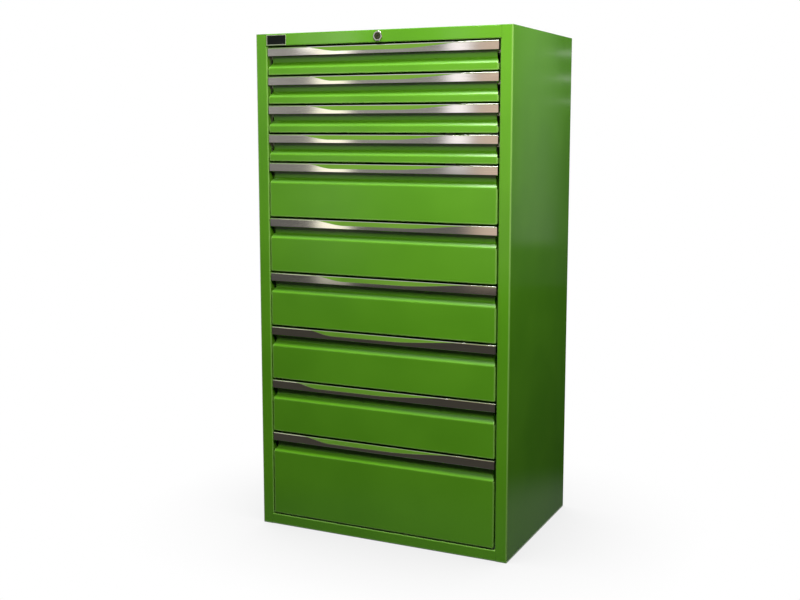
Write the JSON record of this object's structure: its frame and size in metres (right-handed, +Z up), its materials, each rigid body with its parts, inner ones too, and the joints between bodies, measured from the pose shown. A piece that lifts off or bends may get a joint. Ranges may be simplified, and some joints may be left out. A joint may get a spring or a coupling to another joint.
{
  "type": "drawer tool cabinet",
  "caption": "Tall green sheet-steel tool cabinet with shallow, medium and deep drawers on telescopic slides, polished grip strips and one central lock.",
  "frame": {"origin": "middle of the base, on the floor", "axes": "+X to the cabinet's right as seen from the front, the front faces -Y, +Z up"},
  "size_m": [0.725, 0.4948, 1.35],
  "materials": {
    "green_paint": "satin lime-green powder coat",
    "polished_grip": "polished stainless strip with fine drawn lines",
    "zinc_steel": "bright zinc plate",
    "lock_chrome": "chrome plate",
    "plate_black": "gloss black with a bright rim",
    "guide_nylon": "natural nylon"
  },
  "bodies": {
    "cabinet": {"left_side_panel": "green_paint", "right_side_panel": "green_paint", "top_panel": "green_paint", "base_panel": "green_paint", "back_panel": "green_paint", "back_panel_screws": "zinc_steel", "front_left_upright": "green_paint", "front_right_upright": "green_paint", "rear_left_upright": "green_paint", "rear_right_upright": "green_paint", "fixed_slides_left": "zinc_steel", "fixed_slides_right": "zinc_steel", "name_plate": "plate_black", "lock_barrel": "lock_chrome", "lock_nut": "zinc_steel", "lock_rod_bracket": "zinc_steel", "lock_bar_guides": "guide_nylon"},
    "lock_bar": {"lock_bar": "zinc_steel"},
    "lock_core": {"lock_plug": "lock_chrome", "lock_drive_rod": "zinc_steel"},
    "drawer_1": {"drawer_1_front": "green_paint", "drawer_1_grip_strip": "polished_grip", "drawer_1_tray": "green_paint"},
    "drawer_1_middle_slides": {"drawer_1_slides": "zinc_steel"},
    "drawer_2": {"drawer_2_front": "green_paint", "drawer_2_grip_strip": "polished_grip", "drawer_2_tray": "green_paint"},
    "drawer_2_middle_slides": {"drawer_2_slides": "zinc_steel"},
    "drawer_3": {"drawer_3_front": "green_paint", "drawer_3_grip_strip": "polished_grip", "drawer_3_tray": "green_paint"},
    "drawer_3_middle_slides": {"drawer_3_slides": "zinc_steel"},
    "drawer_4": {"drawer_4_front": "green_paint", "drawer_4_grip_strip": "polished_grip", "drawer_4_tray": "green_paint"},
    "drawer_4_middle_slides": {"drawer_4_slides": "zinc_steel"},
    "drawer_5": {"drawer_5_front": "green_paint", "drawer_5_grip_strip": "polished_grip", "drawer_5_tray": "green_paint"},
    "drawer_5_middle_slides": {"drawer_5_slides": "zinc_steel"},
    "drawer_6": {"drawer_6_front": "green_paint", "drawer_6_grip_strip": "polished_grip", "drawer_6_tray": "green_paint"},
    "drawer_6_middle_slides": {"drawer_6_slides": "zinc_steel"},
    "drawer_7": {"drawer_7_front": "green_paint", "drawer_7_grip_strip": "polished_grip", "drawer_7_tray": "green_paint"},
    "drawer_7_middle_slides": {"drawer_7_slides": "zinc_steel"},
    "drawer_8": {"drawer_8_front": "green_paint", "drawer_8_grip_strip": "polished_grip", "drawer_8_tray": "green_paint"},
    "drawer_8_middle_slides": {"drawer_8_slides": "zinc_steel"},
    "drawer_9": {"drawer_9_front": "green_paint", "drawer_9_grip_strip": "polished_grip", "drawer_9_tray": "green_paint"},
    "drawer_9_middle_slides": {"drawer_9_slides": "zinc_steel"},
    "drawer_10": {"drawer_10_front": "green_paint", "drawer_10_grip_strip": "polished_grip", "drawer_10_tray": "green_paint"},
    "drawer_10_middle_slides": {"drawer_10_slides": "zinc_steel"}
  },
  "joints": [
    {"name": "lock_bar_lift", "type": "slide", "parent": "cabinet", "child": "lock_bar", "axis": [0, 0, 1], "range_m": [0, 0.01273]},
    {"name": "key_turn", "type": "hinge", "parent": "cabinet", "child": "lock_core", "pos_m": [0, -0.245, 1.334], "axis": [0, 1, 0], "range_deg": [0, 90]},
    {"name": "drawer_1_pull", "type": "slide", "parent": "cabinet", "child": "drawer_1", "axis": [0, -1, 0], "range_m": [0, 0.4]},
    {"name": "drawer_1_slide_extend", "type": "slide", "parent": "cabinet", "child": "drawer_1_middle_slides", "axis": [0, -1, 0], "range_m": [0, 0.2]},
    {"name": "drawer_2_pull", "type": "slide", "parent": "cabinet", "child": "drawer_2", "axis": [0, -1, 0], "range_m": [0, 0.4]},
    {"name": "drawer_2_slide_extend", "type": "slide", "parent": "cabinet", "child": "drawer_2_middle_slides", "axis": [0, -1, 0], "range_m": [0, 0.2]},
    {"name": "drawer_3_pull", "type": "slide", "parent": "cabinet", "child": "drawer_3", "axis": [0, -1, 0], "range_m": [0, 0.4]},
    {"name": "drawer_3_slide_extend", "type": "slide", "parent": "cabinet", "child": "drawer_3_middle_slides", "axis": [0, -1, 0], "range_m": [0, 0.2]},
    {"name": "drawer_4_pull", "type": "slide", "parent": "cabinet", "child": "drawer_4", "axis": [0, -1, 0], "range_m": [0, 0.4]},
    {"name": "drawer_4_slide_extend", "type": "slide", "parent": "cabinet", "child": "drawer_4_middle_slides", "axis": [0, -1, 0], "range_m": [0, 0.2]},
    {"name": "drawer_5_pull", "type": "slide", "parent": "cabinet", "child": "drawer_5", "axis": [0, -1, 0], "range_m": [0, 0.4]},
    {"name": "drawer_5_slide_extend", "type": "slide", "parent": "cabinet", "child": "drawer_5_middle_slides", "axis": [0, -1, 0], "range_m": [0, 0.2]},
    {"name": "drawer_6_pull", "type": "slide", "parent": "cabinet", "child": "drawer_6", "axis": [0, -1, 0], "range_m": [0, 0.4]},
    {"name": "drawer_6_slide_extend", "type": "slide", "parent": "cabinet", "child": "drawer_6_middle_slides", "axis": [0, -1, 0], "range_m": [0, 0.2]},
    {"name": "drawer_7_pull", "type": "slide", "parent": "cabinet", "child": "drawer_7", "axis": [0, -1, 0], "range_m": [0, 0.4]},
    {"name": "drawer_7_slide_extend", "type": "slide", "parent": "cabinet", "child": "drawer_7_middle_slides", "axis": [0, -1, 0], "range_m": [0, 0.2]},
    {"name": "drawer_8_pull", "type": "slide", "parent": "cabinet", "child": "drawer_8", "axis": [0, -1, 0], "range_m": [0, 0.4]},
    {"name": "drawer_8_slide_extend", "type": "slide", "parent": "cabinet", "child": "drawer_8_middle_slides", "axis": [0, -1, 0], "range_m": [0, 0.2]},
    {"name": "drawer_9_pull", "type": "slide", "parent": "cabinet", "child": "drawer_9", "axis": [0, -1, 0], "range_m": [0, 0.4]},
    {"name": "drawer_9_slide_extend", "type": "slide", "parent": "cabinet", "child": "drawer_9_middle_slides", "axis": [0, -1, 0], "range_m": [0, 0.2]},
    {"name": "drawer_10_pull", "type": "slide", "parent": "cabinet", "child": "drawer_10", "axis": [0, -1, 0], "range_m": [0, 0.4]},
    {"name": "drawer_10_slide_extend", "type": "slide", "parent": "cabinet", "child": "drawer_10_middle_slides", "axis": [0, -1, 0], "range_m": [0, 0.2]}
  ],
  "couplings": [
    {"joint": "key_turn", "follows": "lock_bar_lift", "rad_per_m": 123.4},
    {"joint": "drawer_1_slide_extend", "follows": "drawer_1_pull", "ratio": 0.5},
    {"joint": "drawer_2_slide_extend", "follows": "drawer_2_pull", "ratio": 0.5},
    {"joint": "drawer_3_slide_extend", "follows": "drawer_3_pull", "ratio": 0.5},
    {"joint": "drawer_4_slide_extend", "follows": "drawer_4_pull", "ratio": 0.5},
    {"joint": "drawer_5_slide_extend", "follows": "drawer_5_pull", "ratio": 0.5},
    {"joint": "drawer_6_slide_extend", "follows": "drawer_6_pull", "ratio": 0.5},
    {"joint": "drawer_7_slide_extend", "follows": "drawer_7_pull", "ratio": 0.5},
    {"joint": "drawer_8_slide_extend", "follows": "drawer_8_pull", "ratio": 0.5},
    {"joint": "drawer_9_slide_extend", "follows": "drawer_9_pull", "ratio": 0.5},
    {"joint": "drawer_10_slide_extend", "follows": "drawer_10_pull", "ratio": 0.5}
  ]
}
